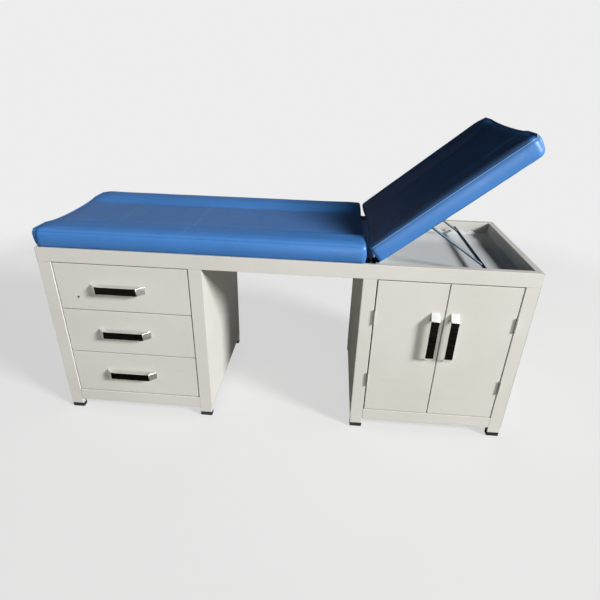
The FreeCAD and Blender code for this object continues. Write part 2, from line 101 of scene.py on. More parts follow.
def remap(tree, value, start, end, low=0.0, high=1.0):
    """A value read between start and end, given back between low and high."""
    limits = {"Value": value, "From Min": start, "From Max": end, "To Min": low, "To Max": high}
    return add_node(tree, "MapRange", limits).outputs["Result"]


def tint(tree, share, first, second):
    """The first colour, with a share of the second."""
    mixed = add_node(tree, "Mix", {}, data_type="RGBA")
    for index, value in ((0, share), (6, first), (7, second)):
        if isinstance(value, bpy.types.NodeSocket):
            tree.links.new(value, mixed.inputs[index])
        else:
            mixed.inputs[index].default_value = (*value, 1) if index else value
    return mixed.outputs[2]


def sums(tree, operation, first, second):
    """One arithmetic step on two values."""
    return add_node(tree, "Math", {0: first, 1: second}, operation=operation).outputs[0]


def relief(tree, shader, layers):
    """Bump layers of (height, strength, depth in metres), the later ones on top."""
    normal = None
    for height, strength, depth in layers:
        bump = add_node(tree, "Bump", {"Height": height, "Strength": strength, "Distance": depth})
        if normal:
            tree.links.new(normal, bump.inputs["Normal"])
        normal = bump.outputs["Normal"]
    tree.links.new(normal, shader.inputs["Normal"])


def feed(tree, shader, colour, roughness):
    """Joins a colour and a roughness pattern to the shader."""
    tree.links.new(colour, shader.inputs["Base Color"])
    tree.links.new(roughness, shader.inputs["Roughness"])


print("finish helpers ready")

# %% [markdown]
# The cabinet is steel tube and sheet under sprayed enamel. Sprayed enamel is never quite flat: it has a
# fine orange-peel skin, a slow drift of tone, and greyish rubs where hands, shoes and trolleys touch it.
# Each of those is one noise pattern at its own scale. The tray under the backrest has a whiter and glossier
# coat, so the same recipe takes its colours and gloss as values; its faint cool tint is a painted blue
# cast of the light in the tray. Paint wears off edges first, so the edges get a recipe of their own, rubbed
# and chipped down to the steel, and paler as a painted highlight along the edges.

# %% Enamel finishes
def enamel(name, clean, aged, roughness_low, roughness_high):
    """Sprayed paint on steel with rubs and a slow drift of tone."""
    finish, tree, shader = new_finish(name)
    drift = remap(tree, speckle(tree, 2.6, detail=4.0), 0.35, 0.7)
    smears = speckle(tree, 9.0, detail=8.0, stretch=(1, 1, 2.5), distortion=0.6)
    rubs = remap(tree, smears, 0.66, 0.8, 0.0, 0.35)
    specks = remap(tree, speckle(tree, 170.0, detail=1.0), 0.74, 0.78, 0.0, 0.3)
    colour = tint(tree, drift, clean, aged)
    colour = tint(tree, rubs, colour, [0.82 * part for part in aged])
    colour = tint(tree, specks, colour, [0.6 * part for part in aged])
    feed(tree, shader, colour, remap(tree, speckle(tree, 14.0), 0.3, 0.7, roughness_low, roughness_high))
    peel = speckle(tree, 320.0, detail=1.0)
    waves = speckle(tree, 7.0)
    relief(tree, shader, [(waves, 0.25, 0.002), (peel, 0.12, 0.0004)])
    return finish


ivory_enamel = enamel("ivory_enamel", (0.71, 0.705, 0.665), (0.665, 0.655, 0.605), 0.36, 0.50)
# The tray's faint cool tint is a painted blue cast of the light in the tray.
tray_enamel_blue_cast = enamel("tray_enamel_blue_cast", (0.70, 0.73, 0.745), (0.65, 0.68, 0.70), 0.14, 0.22)


def worn_enamel(name, paint, steel):
    """Enamel on an edge, rubbed and with small chips down to the steel; its paler paint is a painted highlight."""
    finish, tree, shader = new_finish(name)
    rub = remap(tree, speckle(tree, 18.0, detail=5.0), 0.3, 0.75)
    chips = remap(tree, speckle(tree, 75.0, detail=4.0, distortion=0.5), 0.69, 0.72, 0.0, 0.8)
    colour = tint(tree, rub, paint, [0.94 * part for part in paint])
    feed(tree, shader, tint(tree, chips, colour, steel), remap(tree, chips, 0.0, 0.8, 0.3, 0.6))
    relief(tree, shader, [(chips, 0.4, -0.0002)])
    return finish


# The edge finish is paler than the enamel: a painted highlight along the edges, with chips and rubs from wear.
edge_wear_and_highlight = worn_enamel("edge_wear_and_highlight", (0.73, 0.725, 0.69), (0.20, 0.18, 0.16))
print("enamels:", ivory_enamel.name, tray_enamel_blue_cast.name, edge_wear_and_highlight.name)

# %% [markdown]
# Metals differ mostly in polish. Handles are chrome plated steel with a dark lacquer strip on the flat
# front, the prop is a round bar in dark blue enamel, hinges are blackened steel and the runners are zinc
# plated. A brushed or cloudy roughness keeps each from looking like a mirror ball.

# %% Metal finishes
def cloudy_metal(name, bright, dull, roughness_low, roughness_high, metallic=1.0):
    """Plated or blackened steel with a cloudy polish and fine scratches."""
    finish, tree, shader = new_finish(name, metallic=metallic)
    clouds = remap(tree, speckle(tree, 45.0, detail=5.0), 0.3, 0.75)
    scratches = speckle(tree, 240.0, detail=3.0, stretch=(1, 0.08, 1))
    roughness = remap(tree, clouds, 0.0, 1.0, roughness_low, roughness_high)
    feed(tree, shader, tint(tree, clouds, bright, dull), roughness)
    relief(tree, shader, [(scratches, 0.06, 0.0002)])
    return finish


zinc_plate = cloudy_metal("zinc_plate", (0.62, 0.62, 0.60), (0.45, 0.46, 0.47), 0.28, 0.45)
black_steel = cloudy_metal("black_steel", (0.03, 0.03, 0.032), (0.06, 0.058, 0.055), 0.35, 0.55)
prop_blues = ((0.006, 0.026, 0.062), (0.013, 0.046, 0.090))
prop_enamel = cloudy_metal("prop_enamel", *prop_blues, 0.26, 0.36, metallic=0.3)


def handle_chrome(name, front):
    """Chrome plate whose flat front, at Y = front, is lacquered dark brown-black."""
    finish, tree, shader = new_finish(name, metallic=1.0)
    depth = add_node(tree, "SeparateXYZ", {"Vector": place(tree)}).outputs["Y"]
    lacquer = remap(tree, depth, front + 0.0012, front + 0.0002)
    clouds = remap(tree, speckle(tree, 60.0, detail=4.0), 0.3, 0.75)
    chrome = tint(tree, clouds, (0.94, 0.94, 0.93), (0.84, 0.84, 0.84))
    streaks = remap(tree, speckle(tree, 30.0, detail=4.0, stretch=(0.3, 1, 6)), 0.3, 0.75)
    dark = tint(tree, streaks, (0.012, 0.010, 0.009), (0.035, 0.028, 0.024))
    feed(tree, shader, tint(tree, lacquer, chrome, dark), remap(tree, clouds, 0.0, 1.0, 0.24, 0.38))
    relief(tree, shader, [(speckle(tree, 300.0, stretch=(0.1, 1, 1)), 0.04, 0.0002)])
    return finish


drawer_chrome = handle_chrome("drawer_handle_chrome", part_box("top_drawer_handle")[0].y)
door_chrome = handle_chrome("door_handle_chrome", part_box("left_door_handle")[0].y)
print("metals:", zinc_plate.name, black_steel.name, prop_enamel.name, drawer_chrome.name, door_chrome.name)

# %% [markdown]
# Boards inside the cushions are plywood, the shoes are black rubber and the door catches are dark plastic.
# Wood grain is noise stretched along the board; rubber and plastic need little more than a fine matt
# speckle.

# %% Board, rubber and plastic finishes
def plywood():
    """Birch plywood with long grain."""
    finish, tree, shader = new_finish("plywood_board", specular=0.3)
    grain = speckle(tree, 9.0, detail=6.0, stretch=(1, 14, 14), distortion=0.4)
    pores = speckle(tree, 60.0, detail=3.0, stretch=(1, 12, 12))
    colour = tint(tree, remap(tree, grain, 0.3, 0.7), (0.55, 0.38, 0.22), (0.40, 0.25, 0.13))
    colour = tint(tree, remap(tree, pores, 0.6, 0.75, 0.0, 0.5), colour, (0.25, 0.15, 0.08))
    feed(tree, shader, colour, remap(tree, grain, 0.3, 0.7, 0.55, 0.75))
    relief(tree, shader, [(pores, 0.2, 0.0004)])
    return finish


def matt_compound(name, first, second, roughness_low, roughness_high):
    """Rubber or moulded plastic with a matt speckle and dusty patches."""
    finish, tree, shader = new_finish(name, specular=0.35)
    dust = remap(tree, speckle(tree, 22.0, detail=6.0), 0.35, 0.75)
    roughness = remap(tree, dust, 0.0, 1.0, roughness_low, roughness_high)
    feed(tree, shader, tint(tree, dust, first, second), roughness)
    relief(tree, shader, [(speckle(tree, 700.0), 0.15, 0.0003)])
    return finish


board_plywood = plywood()
shoe_rubber = matt_compound("shoe_rubber", (0.014, 0.014, 0.015), (0.05, 0.048, 0.045), 0.6, 0.85)
catch_plastic = matt_compound("catch_plastic", (0.03, 0.028, 0.027), (0.055, 0.05, 0.046), 0.4, 0.6)
print("others:", board_plywood.name, shoe_rubber.name, catch_plastic.name)

# %% [markdown]
# The record names a finish for each CAD node, so one table turns its slot names into the materials above.
# Edges of folded sheet and drawn tube are never knife sharp. A Bevel modifier rounds them by a millimetre,
# and catches the light as the real edges do. The CAD meshes are loose triangles, so a Weld modifier joins
# them first.

# %% Dress the CAD nodes
finish_of_slot = {
    "ivory_paint": ivory_enamel,
    "white_paint": tray_enamel_blue_cast,
    "bright_chrome": door_chrome,
    "zinc_steel": zinc_plate,
    "black_steel": black_steel,
    "dark_blue_steel": prop_enamel,
    "plywood": board_plywood,
    "black_rubber": shoe_rubber,
    "dark_plastic": catch_plastic,
}
edge_width_of_slot = {
    "ivory_paint": 0.0016,
    "white_paint": 0.0012,
    "bright_chrome": 0.0011,
    "black_rubber": 0.002,
    "dark_plastic": 0.001,
}


def round_edges(piece, width):
    """Joins loose triangles, then rounds the sharp edges; a second material goes on the rounding."""
    weld = piece.modifiers.new("joined", "WELD")
    weld.merge_threshold = 0.00001
    edges = piece.modifiers.new("rounded", "BEVEL")
    edges.width = width
    edges.segments = 2
    edges.limit_method = "ANGLE"
    edges.angle_limit = math.radians(40)
    edges.harden_normals = True
    edges.material = len(piece.data.materials) - 1


for part in frame["record"]["subparts"]:
    slot_name = part["material_slot"]
    if slot_name in finish_of_slot:
        node = nodes[part["node"]]
        node.data.materials.clear()
        is_drawer_handle = node.name.endswith("_drawer_handle")
        node.data.materials.append(drawer_chrome if is_drawer_handle else finish_of_slot[slot_name])
        # Rounded edges take the edge finish: a painted highlight, with chips from wear.
        if slot_name == "ivory_paint":
            node.data.materials.append(edge_wear_and_highlight)
        already_round = node.name.endswith(("_drawer_front", "_door_panel"))
        if slot_name in edge_width_of_slot and not already_round:
            round_edges(node, edge_width_of_slot[slot_name])
print("dressed nodes:", sum(1 for node in nodes.values() if node.data.materials))

# %% [markdown]
# The cushions are foam on a board, under blue coated fabric. The grain of that fabric is small soft cells,
# its surface has shallow waves, and the foot mattress shows two faint pale creases across its width, where
# it was once folded. Cells come from a Voronoi pattern, and a crease is a narrow band of the X coordinate
# that wanders a little. The middle of the mattress is a greyer blue, partly from wear and partly as painted
# sheen that leaves the rims looking brighter, and painted shade darkens the sides towards the base. Both are
# shares of a second colour, ruled by the distance from the middle and the height over the base.

# %% Vinyl finish
cushion_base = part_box("foot_mattress")[0].z
cushion_middle = (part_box("foot_mattress")[0].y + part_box("foot_mattress")[1].y) / 2
# A greyer middle for the mattress: partly wear, partly painted sheen that leaves the rims looking brighter.
worn_and_sheen_blue = (0.078, 0.200, 0.485)
# Painted shade for the backrest's top panel, which faces away from the light.
backrest_shade_blue = (0.022, 0.060, 0.140)
# Painted shade, darker towards the cushions' base.
base_shade_blue = (0.012, 0.045, 0.130)
worn_and_sheen_border = (0.152, 0.120)
crease_near_border = (-0.275, -0.245)
crease_far_border = (0.150, 0.120)
crease_width = 0.0035
crease_wander = 0.006


def crease_band(tree, middle):
    """1 on a line over the valley and the near rim at X = middle, 0 away from it."""
    axes = add_node(tree, "SeparateXYZ", {"Vector": place(tree)})
    along = axes.outputs["X"]
    across = sums(tree, "SUBTRACT", axes.outputs["Y"], cushion_middle)
    near_side = remap(tree, across, *crease_near_border)
    on_top = sums(tree, "MULTIPLY", near_side, remap(tree, across, *crease_far_border))
    shift = remap(tree, speckle(tree, 5.0), 0.0, 1.0, -crease_wander, crease_wander)
    away = sums(tree, "ABSOLUTE", sums(tree, "SUBTRACT", sums(tree, "ADD", along, shift), middle), 0.0)
    return sums(tree, "MULTIPLY", remap(tree, away, crease_width, 0.0), on_top)


def base_painted_shade(tree, colour):
    """Painted shade: a colour that darkens down the side, most of all along the base."""
    height = add_node(tree, "SeparateXYZ", {"Vector": place(tree)}).outputs["Z"]
    shift = remap(tree, speckle(tree, 20.0, detail=4.0), 0.3, 0.7, -0.002, 0.002)
    uneven = sums(tree, "ADD", height, shift)
    slow = remap(tree, uneven, cushion_base + 0.055, cushion_base, 0.0, 0.28)
    line = remap(tree, uneven, cushion_base + 0.009, cushion_base + 0.001, 0.0, 0.5)
    return tint(tree, sums(tree, "ADD", slow, line), colour, base_shade_blue)


def vinyl(name, deep, light, creases=(), wear_and_sheen=0.0, shade_at_base=False, top_shade=None):
    """Blue vinyl with cell grain, waves and rubs; optional worn middle with painted sheen, and painted shade."""
    finish, tree, shader = new_finish(name, specular=0.4)
    waves = speckle(tree, 16.0, detail=3.0, distortion=0.8)
    cells = add_node(tree, "TexVoronoi", {"Vector": place(tree), "Scale": 520.0}).outputs["Distance"]
    drift = remap(tree, speckle(tree, 4.0, detail=4.0), 0.3, 0.7)
    colour = tint(tree, drift, deep, light)
    # A greyer middle: partly wear, partly painted sheen on the flat top.
    if wear_and_sheen:
        across = add_node(tree, "SeparateXYZ", {"Vector": place(tree)}).outputs["Y"]
        from_middle = sums(tree, "ABSOLUTE", sums(tree, "SUBTRACT", across, cushion_middle), 0.0)
        wander = remap(tree, speckle(tree, 12.0, detail=5.0), 0.3, 0.7, -0.008, 0.008)
        worn_and_sheen = remap(tree, sums(tree, "ADD", from_middle, wander), *worn_and_sheen_border, 0.0, wear_and_sheen)
        colour = tint(tree, worn_and_sheen, colour, worn_and_sheen_blue)
    # Painted shade towards the base.
    if shade_at_base:
        colour = base_painted_shade(tree, colour)
    # Painted shade on the backrest's top panel.
    if top_shade:
        colour = tint(tree, top_shade(tree), colour, backrest_shade_blue)
    rubs = remap(tree, speckle(tree, 26.0, detail=9.0, distortion=1.5), 0.62, 0.8, 0.0, 0.22)
    colour = tint(tree, rubs, colour, (0.16, 0.30, 0.55))
    layers = [(waves, 0.3, 0.003), (cells, 0.25, 0.0004)]
    for middle, strength in creases:
        band = crease_band(tree, middle)
        broken = remap(tree, speckle(tree, 40.0, detail=3.0), 0.35, 0.6, 0.25, 1.0)
        share = sums(tree, "MULTIPLY", sums(tree, "MULTIPLY", band, broken), strength)
        colour = tint(tree, share, colour, (0.30, 0.42, 0.62))
        layers.append((band, 0.3 * strength, -0.0012))
    feed(tree, shader, colour, remap(tree, waves, 0.3, 0.7, 0.32, 0.44))
    relief(tree, shader, layers)
    return finish


blues = ((0.050, 0.203, 0.55), (0.060, 0.230, 0.61))
folds = [(-0.360, 0.55), (-0.664, 0.4)]
mattress_vinyl = vinyl("mattress_vinyl", *blues, creases=folds, wear_and_sheen=0.85, shade_at_base=True)
mattress_welt = vinyl("mattress_welt", (0.065, 0.20, 0.50), (0.085, 0.235, 0.54))
# The backrest's welt is paler than its vinyl: a painted highlight where the light catches the seam.
backrest_welt_highlight = vinyl("backrest_welt_highlight", (0.22, 0.36, 0.57), (0.32, 0.45, 0.63))
print("vinyls:", mattress_vinyl.name, mattress_welt.name, backrest_welt_highlight.name)

# %% [markdown]
# Both cushions have the same make: a banded side, a seam along the top edge, a raised rim on each long side
# and a shallow valley between the rims. A sphere or a plain cube would need heavy sculpting. A cube cut
# into even quads by subdivide_edges can be moved point by point instead: each point knows its place along,
# across and up the cushion, and a few plain formulas give the round corners, the band's bulge, the rims and
# the valley.

# %% Sizes of the upholstery
seam_height = 0.060
rim_height = 0.0705
valley_height = 0.0530
rim_reach = 0.098
slope_reach = 0.162
shoulder_reach = 0.030
end_shoulder_reach = 0.030
junction_shoulder_reach = 0.011
end_blend = 0.16
corner_radius = {"foot_mattress_cover": 0.024, "backrest_cover": 0.025}
junction_corner = 0.013
base_tuck = 0.0030
seam_tuck = 0.0045
junction_tuck = 0.0014
tuck_power = 6
band_rows = 10
side_draw = 0.003
end_bulge = 0.0030
end_lean = 0.0085
corner_blend = 1.5
junction_bulge = 0.005
base_lift = 0.004
end_seam_drop = 0.0075
junction_seam_drop = 0.0088
crown = 0.0015
quad_size = 0.0105
edge_crowding = 1.25
crease_hold = 0.008
end_power = 2.2
end_share = 0.8
unevenness = 0.0008
base_border = (0.012, 0.032)
notch_reach = 0.034
notch_height = 0.0024
on_face = 1 - 1e-5


def smooth_step(value):
    """Rises from 0 to 1 with soft ends."""
    held = min(max(value, 0.0), 1.0)
    return held * held * (3 - 2 * held)


def soft_ramp(value):
    """Rises from 0 to 1 in a straight slope with short soft ends."""
    held = min(max(value, 0.0), 1.0)
    return 0.65 * held + 0.35 * smooth_step(held)


def crowd(value):
    """Draws even steps from -1 to 1 closer together near both ends."""
    return math.copysign(1 - (1 - abs(value)) ** edge_crowding, value)


def round_corner(x, y, half_length, half_width, radius):
    """Turns the square corner of a plan into a round one."""
    past_x = abs(x) - (half_length - radius)
    past_y = abs(y) - (half_width - radius)
    if past_x > 0 and past_y > 0:
        pull = max(past_x, past_y) / math.hypot(past_x, past_y)
        x = math.copysign(half_length - radius + past_x * pull, x)
        y = math.copysign(half_width - radius + past_y * pull, y)
    return x, y


def shoulder(low, high, distance, reach):
    """A quarter-round rise from low at an edge to high at its reach."""
    share = min(max(distance / reach, 0.0), 1.0)
    return low + (high - low) * math.sqrt(1 - (1 - share) ** 2)


def cover_height(x, y, half_length, half_width, outer_end):
    """Height of the top panel over a point of the plan."""
    from_side = half_width - abs(y)
    from_end = half_length - abs(x)
    rise = soft_ramp((slope_reach - from_side) / (slope_reach - rim_reach))
    if x * outer_end > 0:
        even = min(1.0, (abs(y) / (half_width - rim_reach)) ** end_power)
        rise += end_share * (even - rise) * smooth_step(1 - from_end / end_blend)
    height = valley_height + (rim_height - valley_height) * rise + crown * (1 - (x / half_length) ** 2)
    height += unevenness * noise.noise(Vector((x * 9, y * 9, 0.3)))
    side_drop = height - shoulder(seam_height, height, from_side, shoulder_reach)
    share = 0.35 + 0.65 * rise
    if x * outer_end < 0:
        seam = height - junction_seam_drop * share
        end_drop = height - shoulder(seam, height, from_end, junction_shoulder_reach)
        return height - max(side_drop, end_drop)
    seam = height - end_seam_drop * share
    end_drop = height - shoulder(seam, height, from_end, end_shoulder_reach)
    return height - (side_drop**corner_blend + end_drop**corner_blend) ** (1 / corner_blend)


print("cushion height over rim and valley:", rim_height, valley_height)

# %% [markdown]
# The cover starts as that shaped grid, a little smaller than the finished cushion. Its seam, its base, the
# end at the junction and the crease at the foot of each rim are kept in lists of vertices, because the
# cloth is sewn, stapled or stitched down there and stays in place while the rest swells.

# %% Shape a cover
def shaped_cover(low, high, outer_end, outer_corner, notches):
    """A closed quad cover, with its held and seam points; outer_end is 1 or -1 along X."""
    centre = (low + high) / 2
    half_length = (high.x - low.x) / 2
    half_width = (high.y - low.y) / 2
    counts = (round(2 * half_length / quad_size), round(2 * half_width / quad_size), band_rows)
    bm = bmesh.new()
    bmesh.ops.create_cube(bm, size=2.0)
    for axis, count in enumerate(counts):
        along = [edge for edge in bm.edges if abs(edge.verts[0].co[axis] - edge.verts[1].co[axis]) > 1]
        bmesh.ops.subdivide_edges(bm, edges=along, cuts=count - 1)
    bm.verts.index_update()
    held, seam = [], []
    for vert in bm.verts:
        u, v, w = vert.co
        up = (w + 1) / 2
        on_edge = max(abs(u), abs(v)) > on_face
        on_top, on_base = up > on_face, up < 1 - on_face
        at_end = u * outer_end > on_face
        at_joint = u * outer_end < -on_face
        x, y = crowd(u) * half_length, crowd(v) * half_width
        inwards = min(half_length - abs(x), half_width - abs(y))
        z = base_lift * smooth_step((inwards - base_border[0]) / (base_border[1] - base_border[0]))
        if on_edge or on_top:
            z = up * cover_height(x, y, half_length, half_width, outer_end)
        side_tuck = (seam_tuck if up > 0.5 else base_tuck) * (2 * up - 1) ** tuck_power
        near_junction = u * outer_end < 0
        end_tuck = side_tuck * (junction_tuck / seam_tuck if near_junction else 1.0)
        corner = junction_corner if near_junction else outer_corner
        x, y = round_corner(x, y, half_length, half_width, corner)
        swing = 0.0
        if at_end:
            swing = end_bulge * 4 * up * (1 - up) + end_lean * up
        if at_joint and not notches:
            swing = junction_bulge * 4 * up * (1 - up) ** 1.5
        in_notch = any(start < centre.y + y < stop for start, stop in notches)
        if in_notch and on_base and near_junction and inwards < notch_reach:
            z = max(z, notch_height)
        x *= 1 + (swing - end_tuck) / half_length
        y *= 1 - (side_tuck + side_draw * (1 - (x / half_length) ** 2)) / half_width
        vert.co = (centre.x + x, centre.y + y, low.z + z)
        from_foot = abs(half_width - abs(y) - slope_reach)
        if on_edge and on_top:
            seam.append(vert.index)
        elif on_base or at_joint or from_foot < crease_hold:
            held.append(vert.index)
    bmesh.ops.recalc_face_normals(bm, faces=bm.faces)
    return bm, held, seam


cushion_low, cushion_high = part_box("foot_mattress")
print("quads across a cushion:", round((cushion_high.y - cushion_low.y) / quad_size))

# %% [markdown]
# Foam pushes a vinyl cover out between its seams, so the panels swell a little and pucker beside the
# stitching. Painting that by hand would take long. Blender's cloth does it: the base and the seam are
# pinned, pressure stands for the foam, and twenty frames are enough. How far a point may move is capped, so
# that the cushion keeps its size.

# %% Swell a cover with cloth
swell_cap = 0.0018
swell_pressure = 4.0
swell_frames = 20


def swell(piece, held):
    """Runs the cloth, then keeps its capped movement in the piece's own mesh."""
    start = [vert.co.copy() for vert in piece.data.vertices]
    pins = piece.vertex_groups.new(name="held")
    pins.add(held, 1.0, "REPLACE")
    cloth = piece.modifiers.new("cloth", "CLOTH")
    cloth.settings.vertex_group_mass = "held"
    cloth.settings.quality = 5
    cloth.settings.mass = 0.35
    cloth.settings.tension_stiffness = 40
    cloth.settings.compression_stiffness = 40
    cloth.settings.shear_stiffness = 12
    cloth.settings.bending_stiffness = 2.0
    cloth.settings.use_pressure = True
    cloth.settings.uniform_pressure_force = swell_pressure
    cloth.settings.effector_weights.gravity = 0
    cloth.point_cache.frame_start = 1
    cloth.point_cache.frame_end = swell_frames
    for step in range(1, swell_frames + 1):
        scene.frame_set(step)
    swollen = piece.evaluated_get(bpy.context.evaluated_depsgraph_get()).data
    moved = [vert.co - was for vert, was in zip(swollen.vertices, start)]
    piece.modifiers.remove(cloth)
    piece.vertex_groups.remove(pins)
    scene.frame_set(1)
    for vert, was, move in zip(piece.data.vertices, start, moved):
        vert.co = was + move * min(1.0, swell_cap / max(move.length, 1e-9))
    return max(move.length for move in moved)


print("cloth frames:", swell_frames, "cap:", swell_cap)

# %% [markdown]
# A finished piece is an object at the origin with its place in its mesh. This helper turns a bmesh into
# one, gives it its finish, and ties it to the CAD body that it moves with.

# %% Make a piece from a bmesh
def make_piece(name, bm, finish, body, slot):
    """A smooth-shaded object that rides on a body."""
    mesh = bpy.data.meshes.new(name)
    bm.to_mesh(mesh)
    bm.free()
    mesh.materials.append(finish)
    mesh.shade_smooth()
    piece = bpy.data.objects.new(name, mesh)
    scene.collection.objects.link(piece)
    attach(piece, body)
    return piece


def smooth_piece(piece):
    """One level of subdivision, the same on screen and in the render."""
    surface = piece.modifiers.new("surface", "SUBSURF")
    surface.levels = 1
    surface.render_levels = 1


print("piece helpers:", make_piece.__name__, smooth_piece.__name__)

# %% [markdown]
# The backrest is built lying flat and then turned up about its hinge line, because its base is flat only in
# its own frame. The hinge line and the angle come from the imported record: the tilt joint's lower limit is
# how far the backrest still has to fall from where the photograph shows it.

# %% Backrest frame
tilt = next(joint for joint in frame["joints"] if joint["name"] == "backrest_tilt")
hinge = Vector(tilt["pos_m"])
rest_angle = math.radians(-tilt["range_deg"][0])
turn_up = Matrix.Translation(hinge) @ Matrix.Rotation(-rest_angle, 4, "Y") @ Matrix.Translation(-hinge)
turn_flat = turn_up.inverted()


def flat_box(node):
    """Low and high corner of a backrest node when the backrest lies flat."""
    points = [turn_flat @ vert.co for vert in nodes[node].data.vertices]
    low = Vector([min(point[axis] for point in points) for axis in range(3)])
    high = Vector([max(point[axis] for point in points) for axis in range(3)])
    return low, high


print("hinge:", [round(v, 4) for v in hinge], "angle:", round(math.degrees(rest_angle), 2))

# %% [markdown]
# The top of the backrest faces away from the light and its sides are lit, so the top panel takes painted
# shade: a darker blue mixed into its colour, while the sides keep theirs. The shade could be painted as a
# vertex colour. Three coordinates of the backrest's own frame, along, across and above the hinge line, mark
# the same area with soft borders that need no extra points in the mesh.

# %% Painted shade on the backrest
backrest_reach = flat_box("backrest_cushion")[1].x - hinge.x
shade_across = (0.297, 0.275)
shade_above = (0.040, 0.046)
shade_along = (backrest_reach - 0.010, backrest_reach - 0.030)


def backrest_top_shade(tree):
    """Share of painted shade at a point: patchy on the top panel, none on the sides and the head end."""
    axes = add_node(tree, "SeparateXYZ", {"Vector": place(tree)}).outputs
    out = sums(tree, "SUBTRACT", axes["X"], hinge.x)
    rise = sums(tree, "SUBTRACT", axes["Z"], hinge.z)
    cosine, sine = math.cos(rest_angle), math.sin(rest_angle)
    along = sums(tree, "ADD", sums(tree, "MULTIPLY", out, cosine), sums(tree, "MULTIPLY", rise, sine))
    sunk = sums(tree, "MULTIPLY", out, sine)
    above = sums(tree, "SUBTRACT", sums(tree, "MULTIPLY", rise, cosine), sunk)
    across = sums(tree, "ABSOLUTE", sums(tree, "SUBTRACT", axes["Y"], hinge.y), 0.0)
    share = remap(tree, speckle(tree, 9.0, detail=5.0), 0.3, 0.7, 0.5, 0.7)
    share = sums(tree, "MULTIPLY", share, remap(tree, across, *shade_across))
    share = sums(tree, "MULTIPLY", share, remap(tree, above, *shade_above))
    return sums(tree, "MULTIPLY", share, remap(tree, along, *shade_along))


backrest_vinyl = vinyl("backrest_vinyl", *blues, top_shade=backrest_top_shade)
print("top_shaded:", backrest_vinyl.name, "reach:", round(backrest_reach, 4))

# %% [markdown]
# Now the two covers. Each takes the box of its CAD solid, less the amount that it will swell. The welt is
# the thin sewn edge along the top seam: a curve through the seam's own points gives it the right path, and
# a small bevel depth makes it round.

# %% Upholster both cushions
seam_radius = 0.0014
leaf_length = 0.055
swell_room = 0.0005
junction_shift = Vector((0.002, 0, 0))


def seam_loop(piece, seam):
    """Seam points in order round the cushion."""
    middle = sum((piece.data.vertices[i].co for i in seam), Vector()) / len(seam)

    def bearing(index):
        offset = piece.data.vertices[index].co - middle
        return math.atan2(offset.y, offset.x)

    return [piece.data.vertices[i].co.copy() for i in sorted(seam, key=bearing)]


def welt(name, points, finish, body):
    """A thin round cord through points, closed, as a mesh."""
    path = bpy.data.curves.new(name, "CURVE")
    path.dimensions = "3D"
    path.bevel_depth = seam_radius
    path.bevel_resolution = 2
    line = path.splines.new("POLY")
    line.points.add(len(points) - 1)
    for spot, point in zip(line.points, points):
        spot.co = (*point, 1)
    line.use_cyclic_u = True
    holder = bpy.data.objects.new(name + "_path", path)
    bm = bmesh.new()
    bm.from_mesh(bpy.data.meshes.new_from_object(holder))
    bpy.data.objects.remove(holder)
    return make_piece(name, bm, finish, body, "blue_vinyl")


def upholster(name, solid, low, high, finish, welt_finish, body, turn, outer_end, notches=()):
    """A swollen cover and its welt in place of a CAD cushion."""
    inset = Vector((0, swell_room, 0))
    bm, held, seam = shaped_cover(low + inset, high - inset, outer_end, corner_radius[name], notches)
    cover = make_piece(name, bm, finish, body, "blue_vinyl")
    grown = swell(cover, held + seam)
    loop = seam_loop(cover, seam)
    cover.data.transform(turn)
    cord = welt(name + "_welt", [turn @ point for point in loop], welt_finish, body)
    smooth_piece(cover)
    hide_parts(solid)
    print(name, "quads:", len(cover.data.polygons), "largest move:", round(grown, 4), "welt:", cord.name)


flat = Matrix.Identity(4)
mattress_low, mattress_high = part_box("foot_mattress")
backrest_low, backrest_high = flat_box("backrest_cushion")
leaf_low, leaf_high = flat_box("backrest_moving_leaves")
leaf_notches = [(leaf_low.y, leaf_low.y + leaf_length), (leaf_high.y - leaf_length, leaf_high.y)]
upholster(
    "foot_mattress_cover",
    "foot_mattress",
    mattress_low,
    mattress_high + junction_shift,
    mattress_vinyl,
    mattress_welt,
    "cabinet",
    flat,
    -1,
)
upholster(
    "backrest_cover",
    "backrest_cushion",
    backrest_low + junction_shift,
    backrest_high,
    backrest_vinyl,
    backrest_welt_highlight,
    "backrest",
    turn_up,
    1,
    leaf_notches,
)

# %% [markdown]
# Under the backrest a lining of dark blue-grey cloth closes the cushion, and the glossy tray below mirrors
# it. It could be drawn as an outline and filled, but a flat grid is quicker: the faces over the hinge
# leaves are deleted, the outer corners are turned round, the cut edge is shaken a little, and solidify
# gives the cloth its thickness.

# %% Lining under the backrest
lining_cloth = matt_compound("lining_cloth", (0.040, 0.055, 0.080), (0.055, 0.072, 0.100), 0.7, 0.9)
lining_thickness = 0.0003
lining_inset = 0.0055
lining_corner = 0.020
lining_shake = 0.002
leaf_clearance = 0.004
base_height = flat_box("backrest_board")[0].z
lining_low = backrest_low + Vector((lining_inset, lining_inset, 0))
lining_high = backrest_high - Vector((lining_inset, lining_inset, 0))


def over_leaf(point):
    """Whether a point of the underside lies on a hinge leaf or just beside it."""
    beside = any(start - leaf_clearance < point.y < stop + leaf_clearance for start, stop in leaf_notches)
    return beside and point.x < leaf_high.x + leaf_clearance + 0.001


